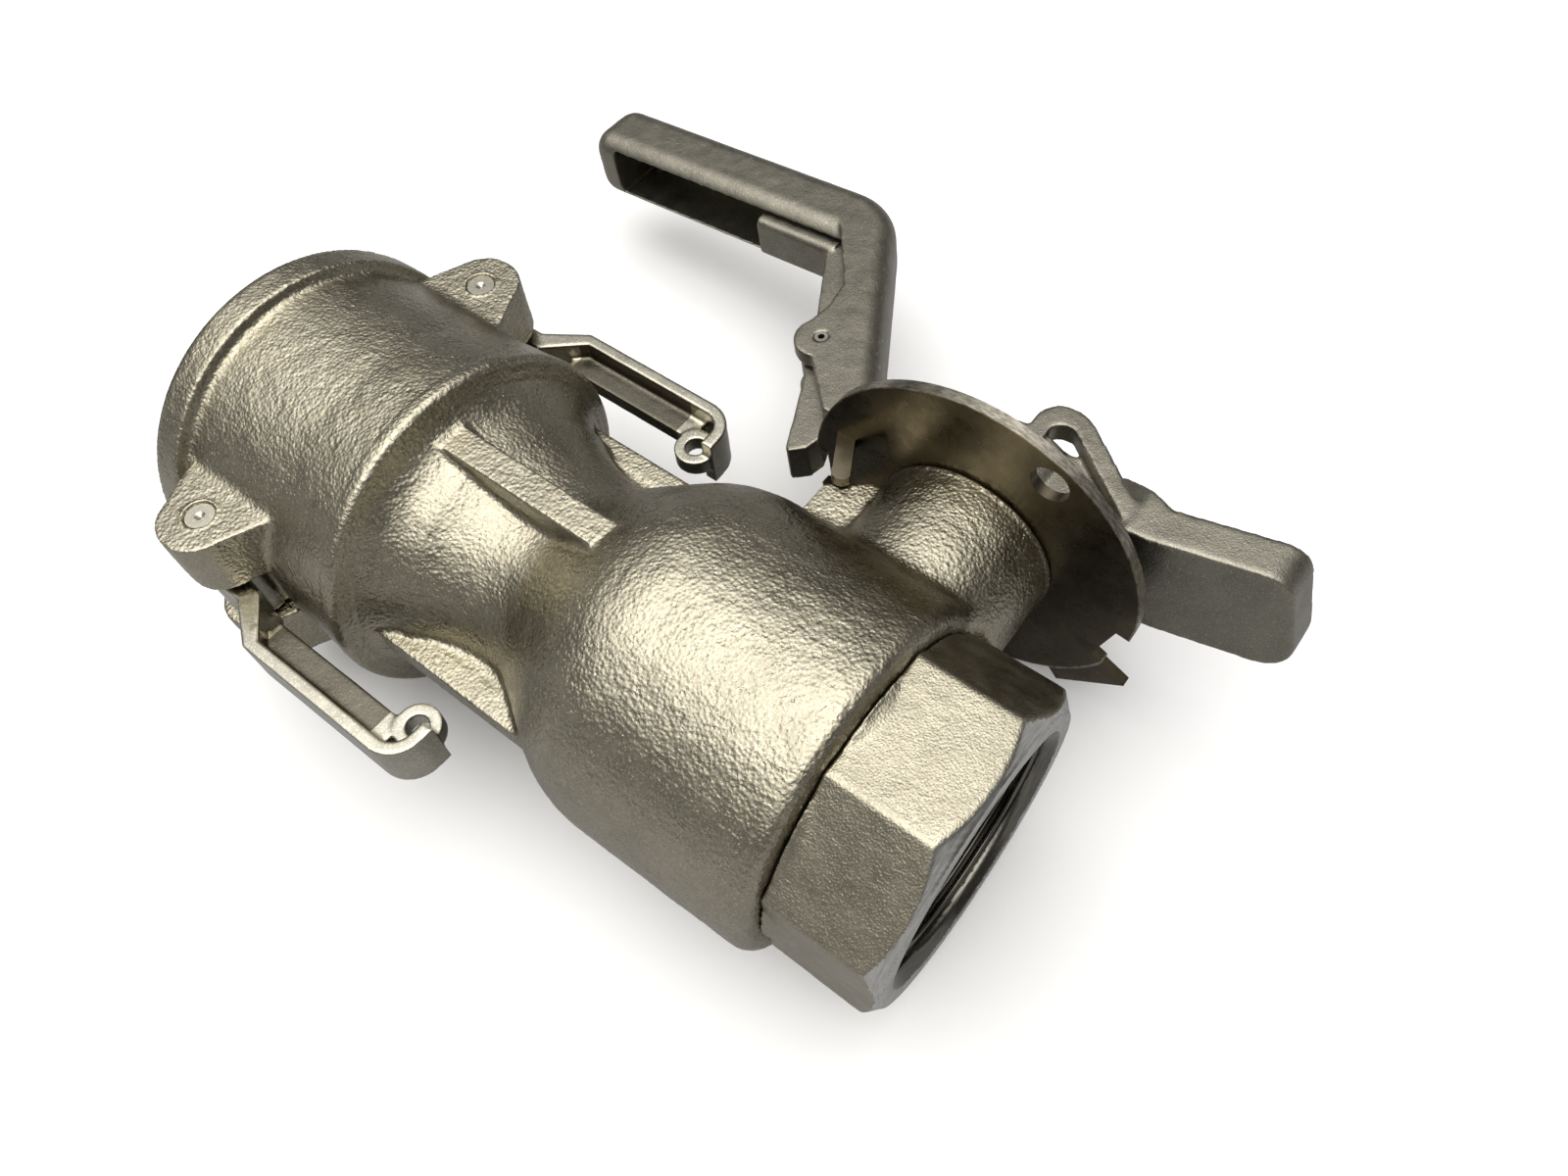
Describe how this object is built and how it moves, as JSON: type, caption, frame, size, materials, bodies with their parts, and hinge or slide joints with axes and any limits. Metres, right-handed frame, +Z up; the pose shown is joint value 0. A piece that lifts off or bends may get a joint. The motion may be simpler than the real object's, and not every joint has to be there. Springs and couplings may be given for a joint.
{
  "type": "lever operated ball valve with cam and groove socket",
  "caption": "Cast ball valve with a cam-and-groove coupler socket, an octagonal threaded end, and a lever with a trigger latch over a notched locking plate.",
  "frame": {"origin": "middle of the pipe thread, on the flow axis; the ball's centre is 38.5 mm back along -X", "axes": "+X along the flow axis towards the threaded end, +Y along the stem towards the lever, +Z up, along the cam pins"},
  "size_m": [0.2775, 0.2245, 0.0982],
  "materials": {
    "cast_body": "investment cast, bead blasted, pebbled",
    "lever_cast": "fine blasted satin casting",
    "cam_cast": "tumbled smooth casting",
    "plate": "rolled sheet with a machined rim",
    "machined": "machined",
    "polished": "ground and polished",
    "spring_steel": "drawn",
    "seat": "turned fluoropolymer",
    "gasket": "moulded"
  },
  "bodies": {
    "valve": {"valve_body": "cast_body", "end_connector": "cast_body", "seat_rear": "seat", "seat_front": "seat", "body_seal": "seat", "coupler_gasket": "gasket", "thrust_washer": "seat", "stem_packing": "seat", "gland_follower": "polished", "disc_springs": "spring_steel", "gland_nut": "machined", "locking_plate": "plate", "cam_pin_left": "machined", "cam_pin_right": "machined"},
    "lever": {"handle": "lever_cast", "handle_pin": "spring_steel", "stem": "polished", "ball": "polished", "latch_pin": "spring_steel", "latch_spring": "spring_steel"},
    "latch": {"latch": "lever_cast"},
    "left_cam": {"cam_arm_left": "cam_cast"},
    "right_cam": {"cam_arm_right": "cam_cast"}
  },
  "joints": [
    {"name": "lever_turn", "type": "hinge", "parent": "valve", "child": "lever", "pos_m": [-0.0385, 0, 0], "axis": [0, -1, 0], "range_deg": [0, 90]},
    {"name": "latch_swing", "type": "hinge", "parent": "lever", "child": "latch", "pos_m": [-0.10607, 0.1002, -0.00556], "axis": [0.0819, 0, -0.9966], "range_deg": [-6, 8]},
    {"name": "left_cam_swing", "type": "hinge", "parent": "valve", "child": "left_cam", "pos_m": [-0.1825, -0.0472, 0], "axis": [0, 0, -1], "range_deg": [0, 100]},
    {"name": "right_cam_swing", "type": "hinge", "parent": "valve", "child": "right_cam", "pos_m": [-0.1825, 0.0472, 0], "axis": [0, 0, 1], "range_deg": [0, 100]}
  ]
}
